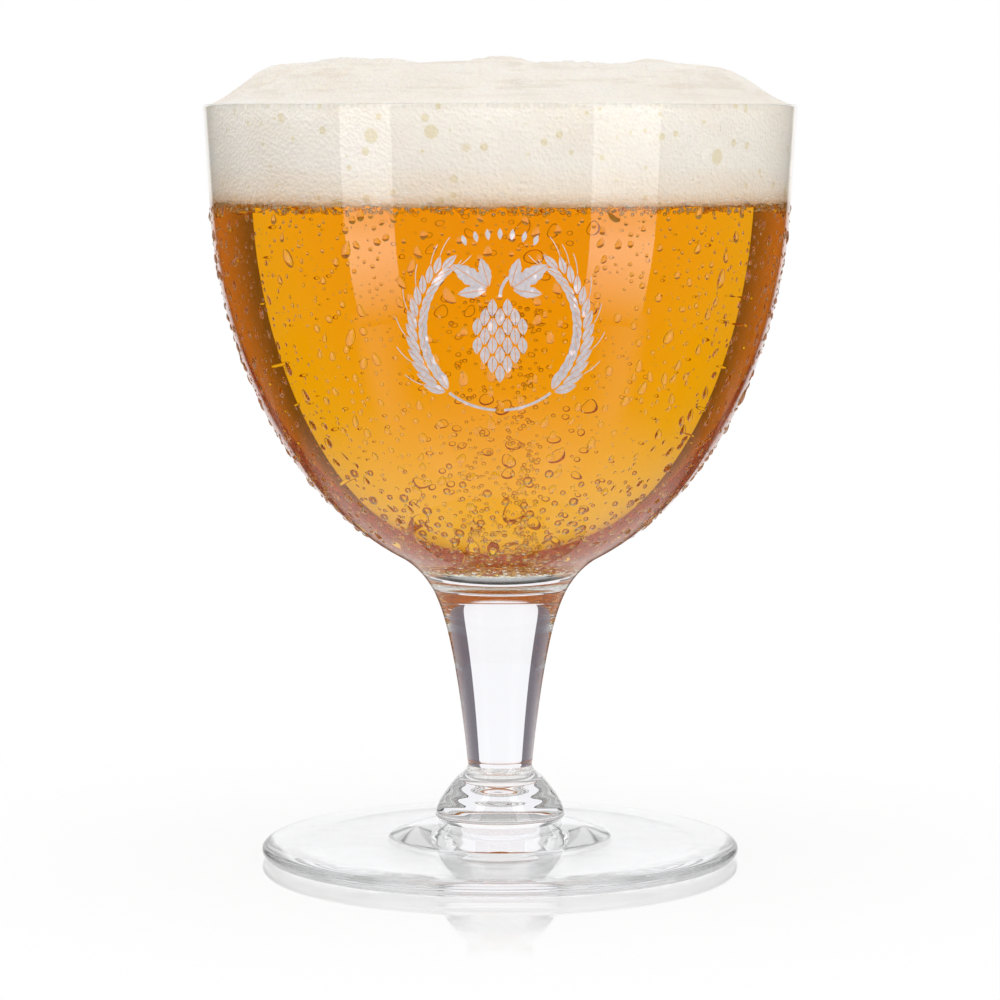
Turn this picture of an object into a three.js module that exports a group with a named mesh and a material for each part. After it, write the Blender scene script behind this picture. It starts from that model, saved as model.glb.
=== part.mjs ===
// A goblet beer glass, poured full.
// Four glass pieces are fused one on top of the other: a pressed foot, a pressed knop, a drawn stem
// and a blown bowl.
// The bowl holds the beer, and a head of foam stands on the beer and domes over the rim.
// Millimetres, +Z up. The origin is the middle of the ring that the foot stands on.
import * as THREE from 'three';

// Foot: a disc with a rounded edge, a low dome in the middle and a shallow hollow underneath.
const footRadius = 40.75;
const footEdgeHeight = 2.7;
const footEdgeBevel = 2.6;
const footEdgeUndercut = 1.7;
const footTopRise = 0.8;
const footDomeRadius = 18.8;
const footDomeRise = 2.5;
const footDomeFullness = 0.45;
const standRingWidth = 5;
const hollowDepth = 0.9;

// Knop: the bell-shaped swelling between the foot and the stem.
const knopSeatRadius = 10.3;
const knopRadius = 11.05;
const knopWidestHeight = 1.1;
const knopBellHeight = 6.4;
const knopBellFullness = 0.3;
const knopShoulderRadius = 7.2;
const knopNeckHeight = 2.1;

// Stem: narrow at the knop, flaring towards the bowl.
const stemLength = 30.4;
const stemWaistRadius = 5.5;
const stemTopRadius = 11.6;
const stemWaistTaper = THREE.MathUtils.degToRad(5.5);
const stemTopTaper = THREE.MathUtils.degToRad(30);

// Bowl: a straight, slightly opening wall at the top, an elliptical cup below it, and a flare that runs
// into the stem.
const bowlHeight = 82;
const rimRadius = 50;
const rimThickness = 1.2;
const wallThickness = 1.5;
const wallTaper = THREE.MathUtils.degToRad(3.4);
const straightWallHeight = 17;
const cupBottomHeight = 1.1;
const cupBottomThickness = 2.9;
const flareSpread = 5.6;

// Drink: the beer stands below the rim, and the foam fills the rest of the bowl and domes over it.
const headDepth = 17;
const domeHeight = 7.4;
const domeFlatness = 7;
const domeSwell = 0.45;
const domeSwellWaves = 3;
const fillClearance = 0.3;

// Facets round the axis, and steps along a curve of the outline.
const facets = 48;
const curveSteps = 6;
const cupSteps = 14;

// Finishes: each piece has its own.
const seeThrough = (color, roughness, opacity) =>
  new THREE.MeshStandardMaterial({ color, roughness, metalness: 0, transparent: true, opacity });
const clearGlass = () => seeThrough(0xeef2f2, 0.03, 0.3);
const amberBeer = () => seeThrough(0xe08a10, 0.05, 0.8);
const creamFoam = () => new THREE.MeshStandardMaterial({ color: 0xeee6d8, roughness: 0.85, metalness: 0 });

// A point of an outline: distance from the axis, then height.
const at = (radius, height) => new THREE.Vector2(radius, height);

// An outline from points and curves in order, with no point twice in a row.
function outline(...stretches) {
  const points = stretches.flat();
  return points.filter((point, i) => i === 0 || point.distanceTo(points[i - 1]) > 1e-4);
}

// An arc of an upright ellipse, from one angle to another in degrees.
function arc(centre, halfWidth, halfHeight, fromDegrees, toDegrees, steps) {
  const from = THREE.MathUtils.degToRad(fromDegrees);
  const to = THREE.MathUtils.degToRad(toDegrees);
  const curve = new THREE.EllipseCurve(centre.x, centre.y, halfWidth, halfHeight, from, to, to < from);
  return curve.getPoints(steps);
}

// A curve between two points that rounds off the corner between them.
function bend(start, corner, end, steps) {
  return new THREE.QuadraticBezierCurve(start, corner, end).getPoints(steps);
}

// A curve between two points that leaves and arrives along two given directions.
function sweep(start, startDirection, end, endDirection, steps) {
  const reach = end.clone().sub(start).cross(endDirection) / startDirection.cross(endDirection);
  return bend(start, start.clone().addScaledVector(startDirection, reach), end, steps);
}

// A solid of revolution about +Z. The outline runs up the outside, from the axis or from a seat.
function revolve(name, points, material) {
  const geometry = new THREE.LatheGeometry(points, facets).rotateX(Math.PI / 2);
  const mesh = new THREE.Mesh(geometry, material);
  mesh.name = name;
  return mesh;
}

// The elliptical cup that leaves a straight wall smoothly at a height, and closes on the axis below it.
// Its widest level lies above that height, where the wall would turn upright.
function cupCurve(radius, slope, height, bottom) {
  const depth = height - bottom;
  const widestAbove = (depth * depth * slope) / (radius - 2 * depth * slope);
  const halfHeight = depth + widestAbove;
  const halfWidth = (halfHeight / depth) * Math.sqrt(radius * (radius - 2 * depth * slope));
  const centre = at(0, height + widestAbove);
  return {
    centre,
    halfWidth,
    halfHeight,
    // The angle below the widest level, in degrees, at which the cup has a given radius or height.
    angleAtRadius: (r) => THREE.MathUtils.radToDeg(Math.acos(r / halfWidth)),
    angleAtHeight: (h) => THREE.MathUtils.radToDeg(Math.asin((centre.y - h) / halfHeight)),
    // Points of the cup between two angles below its widest level.
    points: (fromBelow, toBelow) => arc(centre, halfWidth, halfHeight, -fromBelow, -toBelow, cupSteps),
    // The direction of the cup, going up and out, at an angle below its widest level.
    direction: (below) => {
      const t = THREE.MathUtils.degToRad(below);
      return at(halfWidth * Math.sin(t), halfHeight * Math.cos(t)).normalize();
    },
  };
}

// Heights that the pieces stack up to.
const footDiscHeight = footEdgeHeight + footTopRise;
const footHeight = footDiscHeight + footDomeRise;
const knopShoulderHeight = knopWidestHeight + knopBellHeight;
const knopHeight = knopShoulderHeight + knopNeckHeight;

// The straight wall starts at this height of the bowl.
const wallFoot = bowlHeight - straightWallHeight;
const outerWallFootRadius = rimRadius - straightWallHeight * Math.tan(wallTaper);

// The bowl's inside, taken in by a clearance: its wall radius and slope, and its cup.
function inside(clearance) {
  const mouthRadius = rimRadius - rimThickness - clearance;
  const wallFootRadius = outerWallFootRadius - wallThickness - clearance;
  const slope = (mouthRadius - wallFootRadius) / straightWallHeight;
  const bottom = cupBottomHeight + cupBottomThickness + clearance;
  const cup = cupCurve(wallFootRadius, slope, wallFoot, bottom);
  const radiusAt = (height) =>
    height >= wallFoot
      ? wallFootRadius + slope * (height - wallFoot)
      : cup.halfWidth * Math.cos(THREE.MathUtils.degToRad(cup.angleAtHeight(height)));
  return { mouthRadius, cup, radiusAt };
}

function makeFoot() {
  const ringOuter = footRadius - footEdgeUndercut;
  const ringInner = ringOuter - standRingWidth;
  const edgeMiddle = footEdgeHeight / 2;
  const edgeTop = at(footRadius - footEdgeBevel, footEdgeHeight);
  const domeFoot = at(footDomeRadius, footDiscHeight);
  const seat = at(knopSeatRadius, footHeight);
  const domeCorner = domeFoot.clone().lerp(seat, 0.5).add(at(0, footDomeFullness));
  return revolve(
    'foot',
    outline(
      bend(at(0, hollowDepth), at(ringInner / 2, hollowDepth), at(ringInner, 0), curveSteps / 2),
      arc(at(ringOuter, edgeMiddle), footEdgeUndercut, edgeMiddle, -90, 0, curveSteps),
      arc(at(edgeTop.x, edgeMiddle), footEdgeBevel, edgeMiddle, 0, 90, curveSteps),
      bend(domeFoot, domeCorner, seat, curveSteps),
      at(0, footHeight),
    ),
    clearGlass(),
  );
}

function makeKnop() {
  const seat = at(knopSeatRadius, 0);
  const widest = at(knopRadius, knopWidestHeight);
  const fullBell = at(knopRadius, knopWidestHeight + knopBellHeight * knopBellFullness);
  const shoulder = at(knopShoulderRadius, knopShoulderHeight);
  const neck = at(stemWaistRadius, knopHeight);
  return revolve(
    'knop',
    outline(
      at(0, 0),
      bend(seat, at(knopRadius, knopWidestHeight / 2), widest, curveSteps / 2),
      bend(widest, fullBell, shoulder, curveSteps),
      bend(shoulder, at(stemWaistRadius, knopHeight - knopNeckHeight / 2), neck, curveSteps / 2),
      at(0, knopHeight),
    ),
    clearGlass(),
  );
}

function makeStem() {
  const bottom = at(stemWaistRadius, 0);
  const top = at(stemTopRadius, stemLength);
  const upFromWaist = at(Math.sin(stemWaistTaper), Math.cos(stemWaistTaper));
  const upIntoBowl = at(Math.sin(stemTopTaper), Math.cos(stemTopTaper));
  return revolve(
    'stem',
    outline(at(0, 0), sweep(bottom, upFromWaist, top, upIntoBowl, curveSteps * 2), at(0, stemLength)),
    clearGlass(),
  );
}

function makeBowl() {
  const outer = cupCurve(outerWallFootRadius, Math.tan(wallTaper), wallFoot, cupBottomHeight);
  const inner = inside(0);
  const flareAngle = outer.angleAtRadius(stemTopRadius + flareSpread);
  const flareEnd = outer.points(flareAngle, flareAngle)[0];
  const upFromStem = at(Math.sin(stemTopTaper), Math.cos(stemTopTaper));
  const rimRound = rimThickness / 2;
  const rimCentre = at(rimRadius - rimRound, bowlHeight - rimRound);
  return revolve(
    'bowl',
    outline(
      at(0, 0),
      sweep(at(stemTopRadius, 0), upFromStem, flareEnd, outer.direction(flareAngle), curveSteps),
      outer.points(flareAngle, outer.angleAtHeight(wallFoot)),
      arc(rimCentre, rimRound, rimRound, 0, 180, curveSteps),
      inner.cup.points(inner.cup.angleAtHeight(wallFoot), 90),
    ),
    clearGlass(),
  );
}

// The level of the beer in the bowl, and the space that the drink fills.
const beerLevel = bowlHeight - headDepth;
const space = inside(fillClearance);

// The wall of the drink from one height of the bowl up to another, with the wall's bend where it lies
// between them.
function drinkWall(fromHeight, toHeight) {
  const between = fromHeight < wallFoot && wallFoot < toHeight ? [wallFoot] : [];
  return [fromHeight, ...between, toHeight].map((height) => at(space.radiusAt(height), height));
}

function makeBeer() {
  const cupTop = Math.min(beerLevel, wallFoot);
  return revolve(
    'beer',
    outline(
      space.cup.points(90, space.cup.angleAtHeight(cupTop)),
      drinkWall(cupTop, beerLevel),
      at(0, beerLevel),
    ),
    amberBeer(),
  );
}

// The foam's top: a flat dome that falls to the rim, with low swells round the axis.
function makeFoam() {
  const domePoints = [];
  const rings = curveSteps * 2;
  for (let i = 0; i <= rings; i += 1) {
    const share = Math.cos((i / rings) * (Math.PI / 2));
    domePoints.push(at(space.mouthRadius * share, bowlHeight + domeHeight * (1 - share ** domeFlatness)));
  }
  const foam = revolve(
    'foam_head',
    outline(at(0, beerLevel), drinkWall(beerLevel, bowlHeight), domePoints),
    creamFoam(),
  );
  const position = foam.geometry.attributes.position;
  for (let i = 0; i < position.count; i += 1) {
    const rise = (position.getZ(i) - bowlHeight) / domeHeight;
    const share = Math.hypot(position.getX(i), position.getY(i)) / space.mouthRadius;
    const turn = Math.atan2(position.getY(i), position.getX(i));
    const wave = Math.cos(domeSwellWaves * turn) * share;
    if (rise > 0) position.setZ(i, position.getZ(i) + domeSwell * rise * wave);
  }
  foam.geometry.computeVertexNormals();
  return foam;
}

// Each piece stands on the one below it. The drink is placed with the bowl that holds it.
const bowlGroup = new THREE.Group();
bowlGroup.position.z = stemLength;
bowlGroup.add(makeBowl(), makeBeer(), makeFoam());

const stemGroup = new THREE.Group();
stemGroup.position.z = knopHeight;
stemGroup.add(makeStem(), bowlGroup);

const knopGroup = new THREE.Group();
knopGroup.position.z = footHeight;
knopGroup.add(makeKnop(), stemGroup);

const goblet = new THREE.Group();
goblet.add(makeFoot(), knopGroup);

export default goblet;
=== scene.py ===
import math
import random

import bpy
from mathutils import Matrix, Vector, noise


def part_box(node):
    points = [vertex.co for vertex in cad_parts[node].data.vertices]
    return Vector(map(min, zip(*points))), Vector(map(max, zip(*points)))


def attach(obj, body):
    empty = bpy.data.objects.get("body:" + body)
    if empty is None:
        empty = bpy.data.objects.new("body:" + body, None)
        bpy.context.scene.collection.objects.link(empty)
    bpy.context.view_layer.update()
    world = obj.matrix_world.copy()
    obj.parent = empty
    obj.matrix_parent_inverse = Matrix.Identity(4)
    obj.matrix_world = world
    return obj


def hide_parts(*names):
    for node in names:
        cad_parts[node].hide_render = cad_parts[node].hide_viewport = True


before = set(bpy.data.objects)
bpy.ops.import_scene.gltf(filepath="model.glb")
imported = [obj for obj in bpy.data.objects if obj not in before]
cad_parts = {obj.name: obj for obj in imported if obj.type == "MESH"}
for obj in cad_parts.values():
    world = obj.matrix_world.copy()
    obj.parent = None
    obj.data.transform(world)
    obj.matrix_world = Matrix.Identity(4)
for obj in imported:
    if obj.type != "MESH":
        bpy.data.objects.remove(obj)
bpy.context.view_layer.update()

# Sizes in metres. The heights and outer radii come from the frame.
MM = 0.001
FOOT_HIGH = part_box("foot")[1]
KNOP_LOW, KNOP_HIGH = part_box("knop")
STEM_LOW, STEM_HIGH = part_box("stem")
BOWL_LOW, BOWL_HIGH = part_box("bowl")
BEER_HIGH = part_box("beer")[1]

FOOT_RADIUS = FOOT_HIGH[0]
FOOT_TOP = FOOT_HIGH[2]
FOOT_EDGE_HEIGHT = 2.7 * MM
FOOT_EDGE_BEVEL = 2.6 * MM
FOOT_EDGE_UNDERCUT = 1.7 * MM
FOOT_DISC_HEIGHT = 3.5 * MM
FOOT_DOME_RADIUS = 18.8 * MM
FOOT_DOME_FULLNESS = 0.45 * MM
STAND_RING_WIDTH = 5 * MM
HOLLOW_DEPTH = 0.9 * MM

KNOP_RADIUS = KNOP_HIGH[0]
KNOP_SEAT_RADIUS = 10.3 * MM
KNOP_WIDEST_HEIGHT = 1.1 * MM
KNOP_BELL_HEIGHT = 6.4 * MM
KNOP_BELL_FULLNESS = 0.3
KNOP_SHOULDER_RADIUS = 7.2 * MM
KNOP_NECK_HEIGHT = 2.1 * MM
KNOP_RIDGE_PITCH = 1.7 * MM
KNOP_RIDGE_HEIGHT = 0.012 * MM

STEM_WAIST_RADIUS = 5.5 * MM
STEM_TOP_RADIUS = STEM_HIGH[0]
STEM_WAIST_TAPER = math.radians(5.5)
STEM_TOP_TAPER = math.radians(30)

RIM_RADIUS = BOWL_HIGH[0]
RIM_HEIGHT = BOWL_HIGH[2]
RIM_THICKNESS = 1.2 * MM
WALL_THICKNESS = 1.5 * MM
WALL_TAPER = math.radians(3.4)
WALL_HEIGHT = 17 * MM
CUP_BOTTOM = BOWL_LOW[2] + 1.1 * MM
BOTTOM_THICKNESS = 2.9 * MM
FLARE_SPREAD = 5.6 * MM
WALL_FOOT = RIM_HEIGHT - WALL_HEIGHT
WALL_FOOT_RADIUS = RIM_RADIUS - WALL_HEIGHT * math.tan(WALL_TAPER)

# The photograph shows the top of the beer a little higher than its solid's.
BEER_LEVEL = BEER_HIGH[2] + 1.15 * MM
BEER_FILM = 0.02 * MM
FOAM_FILM = 0.04 * MM

# How many faces run round each piece.
FOOT_SEGMENTS = 192
STEM_SEGMENTS = 160
BOWL_SEGMENTS = 256
FOAM_SEGMENTS = 720

# Refractive indices: soda-lime glass, beer, water.
GLASS_INDEX = 1.52
BEER_INDEX = 1.345
WATER_INDEX = 1.33


# Camera: fitted to the rim, the foot and the outline in the photograph. It looks down by so many degrees.
CAMERA_LENS = 142.9
CAMERA_SENSOR = 36.0
CAMERA_AT = (0.0, -0.6727, 0.12481)
CAMERA_DOWN = 5.421


def make_camera():
    data = bpy.data.cameras.new("camera")
    data.lens = CAMERA_LENS
    data.sensor_width = CAMERA_SENSOR
    data.clip_start = 0.01
    camera = new_object("camera", data)
    camera.location = CAMERA_AT
    camera.rotation_euler = (math.radians(90 - CAMERA_DOWN), 0.0, 0.0)
    bpy.context.scene.camera = camera


# Outlines: lists of (radius, height)

def arc(centre, half_width, half_height, start, end, steps):
    """Points of an upright ellipse between two angles in degrees."""
    points = []
    for i in range(steps + 1):
        t = math.radians(start + (end - start) * i / steps)
        points.append((centre[0] + half_width * math.cos(t), centre[1] + half_height * math.sin(t)))
    return points


def bend(start, corner, end, steps):
    """A curve that rounds off the corner between two points."""
    points = []
    for i in range(steps + 1):
        t = i / steps
        weights = ((1 - t) ** 2, 2 * t * (1 - t), t * t)
        points.append(tuple(sum(w * p[k] for w, p in zip(weights, (start, corner, end))) for k in (0, 1)))
    return points


def line(start, end, steps):
    """Evenly spaced points of a straight line."""
    return [tuple(a + (b - a) * i / steps for a, b in zip(start, end)) for i in range(steps + 1)]


def sweep(start, start_direction, end, end_direction, steps):
    """A curve that leaves and arrives along two given directions."""
    across = start_direction[0] * end_direction[1] - start_direction[1] * end_direction[0]
    gap = (end[0] - start[0], end[1] - start[1])
    reach = (gap[0] * end_direction[1] - gap[1] * end_direction[0]) / across
    corner = (start[0] + reach * start_direction[0], start[1] + reach * start_direction[1])
    return bend(start, corner, end, steps)


class Cup:
    """The elliptical cup that leaves a straight wall smoothly and closes on the axis below it."""

    def __init__(self, radius, slope, height, bottom):
        depth = height - bottom
        widest_above = depth * depth * slope / (radius - 2 * depth * slope)
        self.half_height = depth + widest_above
        self.half_width = self.half_height / depth * math.sqrt(radius * (radius - 2 * depth * slope))
        self.centre = (0.0, height + widest_above)
        self.wall_foot = height
        self.wall_foot_radius = radius
        self.slope = slope

    def angle_at_radius(self, radius):
        return -math.degrees(math.acos(radius / self.half_width))

    def angle_at_height(self, height):
        return -math.degrees(math.asin((self.centre[1] - height) / self.half_height))

    def points(self, start, end, steps):
        return arc(self.centre, self.half_width, self.half_height, start, end, steps)

    def direction(self, angle):
        t = math.radians(-angle)
        return (self.half_width * math.sin(t), self.half_height * math.cos(t))

    def radius_at(self, height):
        if height >= self.wall_foot:
            return self.wall_foot_radius + self.slope * (height - self.wall_foot)
        return self.half_width * math.cos(math.radians(self.angle_at_height(height)))

    def lean_at(self, height):
        """How far the wall leans out, as radius per height."""
        if height >= self.wall_foot:
            return self.slope
        out, up = self.direction(self.angle_at_height(height))
        return out / up


def inside(clearance):
    """The bowl's inside, taken in by a clearance."""
    mouth = RIM_RADIUS - RIM_THICKNESS - clearance
    foot = WALL_FOOT_RADIUS - WALL_THICKNESS - clearance
    bottom = CUP_BOTTOM + BOTTOM_THICKNESS + clearance
    return Cup(foot, (mouth - foot) / WALL_HEIGHT, WALL_FOOT, bottom)


OUTER = Cup(WALL_FOOT_RADIUS, math.tan(WALL_TAPER), WALL_FOOT, CUP_BOTTOM)
INNER = inside(0.0)


# Meshes

# Material slots besides the first: flat faces, and the wet inside of the bowl.
FLAT, WET = 1, 2
# Points closer to the axis than this are on it.
ON_AXIS = 1e-7


def new_object(name, data):
    obj = bpy.data.objects.new(name, data)
    bpy.context.scene.collection.objects.link(obj)
    return obj


def add_object(name, verts, faces, materials, slots=None):
    """A mesh that is smooth, apart from the faces in the flat slot."""
    mesh = bpy.data.meshes.new(name)
    mesh.from_pydata(verts, [], faces)
    for material in materials:
        mesh.materials.append(material)
    for i, polygon in enumerate(mesh.polygons):
        slot = slots[i] if slots else 0
        polygon.material_index = slot
        polygon.use_smooth = slot != FLAT
    mesh.validate()
    mesh.update()
    return new_object(name, mesh)


def revolve(outline, segments):
    """An outline turned about the axis: its points, and the numbers of those in each ring."""
    verts, rings = [], []
    for radius, height in outline:
        count = 1 if radius < ON_AXIS else segments
        rings.append(range(len(verts), len(verts) + count))
        for j in range(count):
            turn = math.tau * j / segments
            verts.append((radius * math.cos(turn), radius * math.sin(turn), height))
    return verts, rings


def bands(rings):
    """Faces between each ring of points and the next. A ring of one point is a tip."""
    faces = []
    for low, high in zip(rings, rings[1:]):
        count = max(len(low), len(high))
        for j in range(count):
            k = (j + 1) % count
            if len(low) == 1:
                faces.append((low[0], high[k], high[j]))
            elif len(high) == 1:
                faces.append((low[j], low[k], high[0]))
            else:
                faces.append((low[j], low[k], high[k], high[j]))
    return faces


def lathe(name, stretches, segments, materials, shape=None):
    """A closed solid of revolution. A stretch of its outline is points, or (points, material slot)."""
    outline, outline_slots = [], []
    for stretch in stretches:
        points, slot = stretch if isinstance(stretch, tuple) else (stretch, 0)
        for point in points:
            if outline and math.dist(point, outline[-1]) < 1e-8:
                continue
            outline.append(point)
            outline_slots.append(slot)
    verts, rings = revolve(outline, segments)
    if shape:
        verts = [shape(Vector(v)) for v in verts]
    slots = [slot for slot in outline_slots[1:] for _ in range(segments)]
    return add_object(name, verts, bands(rings), materials, slots)


def place(obj, slot, *nodes):
    """Every piece rides on the one body. The slot is not used."""
    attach(obj, "root")
    if nodes:
        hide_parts(*nodes)


# Materials

class Graph:
    """Adds nodes to a shader tree. A socket takes a plain value or another node's output."""

    def __init__(self, tree):
        self.nodes = tree.nodes
        self.links = tree.links

    def fill(self, sockets, values):
        for socket, value in zip(sockets, values):
            if isinstance(value, bpy.types.NodeSocket):
                self.links.new(value, socket)
            else:
                socket.default_value = value

    def set(self, node, **values):
        """Fills sockets by name, with _ for a space."""
        self.fill([node.inputs[name.replace("_", " ")] for name in values], values.values())

    def add(self, kind, output=None, **values):
        """A new node, or one output of it."""
        node = self.nodes.new("ShaderNode" + kind)
        self.set(node, **values)
        return node.outputs[output] if output else node

    def math(self, operation, *values, kind="Math"):
        node = self.nodes.new("ShaderNode" + kind)
        node.operation = operation
        self.fill(node.inputs, values)
        return node.outputs["Value"]

    def times(self, a, b):
        return self.math("MULTIPLY", a, b)

    def spread(self, value, low, high, at_low=0.0, at_high=1.0):
        """Carries a value from one range over to another, and holds it at both ends."""
        return self.add("MapRange", "Result", Value=value, From_Min=low, From_Max=high,
                        To_Min=at_low, To_Max=at_high)

    def blend(self, share, when_on, when_off):
        """A number between two."""
        return self.add("Mix", "Result", Factor=share, A=when_off, B=when_on)

    def choose(self, share, when_on, when_off, blend_type="MIX"):
        """A colour between two. A number stands for a grey."""
        node = self.nodes.new("ShaderNodeMix")
        node.data_type = "RGBA"
        node.blend_type = blend_type
        off, on = [(v, v, v, 1.0) if isinstance(v, float) else v for v in (when_off, when_on)]
        self.set(node, Factor=share, A=off, B=on)
        return node.outputs["Result"]

    def ramp(self, share, stops):
        """A colour by position. The stops are (position, colour), in rising order."""
        node = self.add("ValToRGB", Fac=share)
        elements = node.color_ramp.elements
        while len(elements) < len(stops):
            elements.new(0.5)
        for element, (position, colour) in zip(elements, stops):
            element.position = position
            element.color = (*colour, 1.0)
        return node.outputs["Color"]

    def layer(self, share, under, over):
        """One shader partly over another."""
        node = self.nodes.new("ShaderNodeMixShader")
        self.fill(node.inputs, (share, under, over))
        return node.outputs["Shader"]


def new_material(name):
    material = bpy.data.materials.new(name)
    material.use_nodes = True
    graph = Graph(material.node_tree)
    return material, graph, graph.nodes["Principled BSDF"]


def clear_material(name, index, tint=(1.0, 1.0, 1.0, 1.0)):
    material, graph, shader = new_material(name)
    graph.set(shader, Base_Color=tint, Roughness=0.0, IOR=index, Transmission_Weight=1.0)
    return material, graph, shader


def glass_material():
    """Clear glass, with the faint waves that pressing and blowing leave."""
    material, graph, shader = clear_material("clear_glass", GLASS_INDEX, (0.985, 0.992, 0.99, 1.0))
    position = graph.add("TexCoord", "Object")
    waves = graph.add("TexNoise", "Fac", Vector=position, Scale=140.0, Detail=1.0)
    graph.set(shader, Normal=graph.add("Bump", "Normal", Height=waves, Strength=0.02, Distance=0.0006))
    return material


def fused_joint_material():
    """The face between two fused pieces of glass, which light doesn't notice."""
    material, graph, shader = new_material("fused_joint")
    graph.set(shader, Alpha=0.0, Roughness=0.0)
    return material


def beer_material():
    """Golden beer: it only takes light away, because the wet wall already bends it."""
    material, graph, _ = clear_material("beer", 1.0)
    taken = graph.add("VolumeAbsorption", "Volume", Color=(0.991, 0.858, 0.0, 1.0), Density=90.0)
    graph.set(graph.nodes["Material Output"], Volume=taken)
    return material


# Colours of the foam: its cloudy cream, how the beer tints it from WET_BOTTOM up to WET_TOP, painted shade of
# folds streaked over its dome, and its round spots.
FOAM_CLOUDS = ((0.3, (0.88, 0.81, 0.72)), (0.7, (0.92, 0.87, 0.8)))
WET_FOAM = ((0.0, (0.72, 0.42, 0.22)), (0.12, (0.86, 0.68, 0.52)),
            (0.35, (0.97, 0.9, 0.82)), (1.0, (1.0, 1.0, 1.0)))
WET_BOTTOM = BEER_LEVEL - 0.5 * MM
WET_TOP = BEER_LEVEL + 6 * MM
PAINTED_FOLD_SHADE = ((0.38, (0.93, 0.915, 0.89)), (0.5, (1.0, 1.0, 1.0)))
FOAM_SPOT = (0.78, 0.69, 0.46, 1.0)
SPOTS_PER_METRE = (200.0, 430.0)


def round_spots(graph, position, per_metre):
    """Larger gas cells behind the wall. Only some of the texture's cells hold one."""
    cells = graph.add("TexVoronoi", Vector=position, Scale=per_metre)
    chance = graph.add("SeparateColor", "Red", Color=cells.outputs["Color"])
    reach = graph.spread(chance, 0.45, 1.0, 0.0, 0.34)
    within = graph.math("SUBTRACT", reach, cells.outputs["Distance"])
    return graph.spread(within, 0.0, 0.06, 0.0, 0.75)


def foam_material():
    """Cream froth of small cells, with a few larger ones, tinted by the beer lower down."""
    material, graph, shader = new_material("foam")
    position = graph.add("TexCoord", "Object")
    height = graph.add("SeparateXYZ", "Z", Vector=position)
    clouds = graph.add("TexNoise", "Fac", Vector=position, Scale=90.0, Detail=3.0)
    colour = graph.ramp(clouds, FOAM_CLOUDS)
    spots = graph.math("MAXIMUM", *[round_spots(graph, position, scale) for scale in SPOTS_PER_METRE])
    on_wall = graph.spread(height, RIM_HEIGHT - 0.2 * MM, RIM_HEIGHT + 0.2 * MM, 1.0, 0.0)
    colour = graph.choose(graph.times(spots, on_wall), FOAM_SPOT, colour)
    # The underside isn't tinted.
    facing = graph.add("SeparateXYZ", "Z", Vector=graph.add("NewGeometry", "True Normal"))
    wet = graph.ramp(graph.spread(height, WET_BOTTOM, WET_TOP), WET_FOAM)
    colour = graph.choose(graph.spread(facing, -0.8, -0.4), wet, colour, "MULTIPLY")
    # Painted shade of folds on the dome: darker streaks, drawn out along it.
    drawn_out = graph.add("Mapping", "Vector", Vector=position, Rotation=(0.0, 0.12, 0.0),
                          Scale=(75.0, 75.0, 1000.0))
    fold_shade = graph.add("TexNoise", "Fac", Vector=drawn_out, Scale=1.0, Detail=2.0, Distortion=0.6)
    on_dome = graph.spread(height, RIM_HEIGHT + 0.2 * MM, RIM_HEIGHT + 2 * MM)
    colour = graph.choose(on_dome, graph.ramp(fold_shade, PAINTED_FOLD_SHADE), colour, "MULTIPLY")
    cells = graph.add("TexVoronoi", "Distance", Vector=position, Scale=1700.0)
    bump = graph.add("Bump", "Normal", Height=cells, Strength=0.55, Distance=0.0005)
    graph.set(shader, Base_Color=colour, Normal=bump, Roughness=0.75, Subsurface_Weight=0.35,
              Subsurface_Scale=0.002, Subsurface_Radius=(1.0, 0.85, 0.6))
    return material


# Pieces

def make_foot(glass, joint):
    ring_outer = FOOT_RADIUS - FOOT_EDGE_UNDERCUT
    ring_inner = ring_outer - STAND_RING_WIDTH
    middle = FOOT_EDGE_HEIGHT / 2
    edge_top = (FOOT_RADIUS - FOOT_EDGE_BEVEL, FOOT_EDGE_HEIGHT)
    dome_foot = (FOOT_DOME_RADIUS, FOOT_DISC_HEIGHT)
    seat = (KNOP_SEAT_RADIUS, FOOT_TOP)
    dome_corner = ((dome_foot[0] + seat[0]) / 2, (dome_foot[1] + seat[1]) / 2 + FOOT_DOME_FULLNESS)
    stretches = [
        bend((0.0, HOLLOW_DEPTH), (ring_inner / 2, HOLLOW_DEPTH), (ring_inner, 0.0), 24),
        arc((ring_outer, middle), FOOT_EDGE_UNDERCUT, middle, -90, 0, 16),
        arc((edge_top[0], middle), FOOT_EDGE_BEVEL, middle, 0, 90, 20),
        line(edge_top, dome_foot, 40),
        bend(dome_foot, dome_corner, seat, 30),
        ([(0.0, FOOT_TOP)], FLAT),
    ]
    place(lathe("foot_glass", stretches, FOOT_SEGMENTS, [glass, joint]), "clear_glass", "foot")


def knop_ridges(v):
    """Low rings that the press leaves on the bell."""
    radius = math.hypot(v.x, v.y)
    up = (v.z - KNOP_LOW[2]) / (KNOP_HIGH[2] - KNOP_LOW[2])
    if radius < STEM_WAIST_RADIUS * 0.9 or not 0.0 < up < 1.0:
        return v
    turn = math.atan2(v.y, v.x)
    phase = math.tau * v.z / KNOP_RIDGE_PITCH + 0.5 * math.sin(turn + 0.7) + 0.25 * math.sin(3 * turn)
    lift = KNOP_RIDGE_HEIGHT * math.sin(phase) * math.sin(math.pi * up) ** 0.6
    scale = (radius + lift) / radius
    return Vector((v.x * scale, v.y * scale, v.z))


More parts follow.
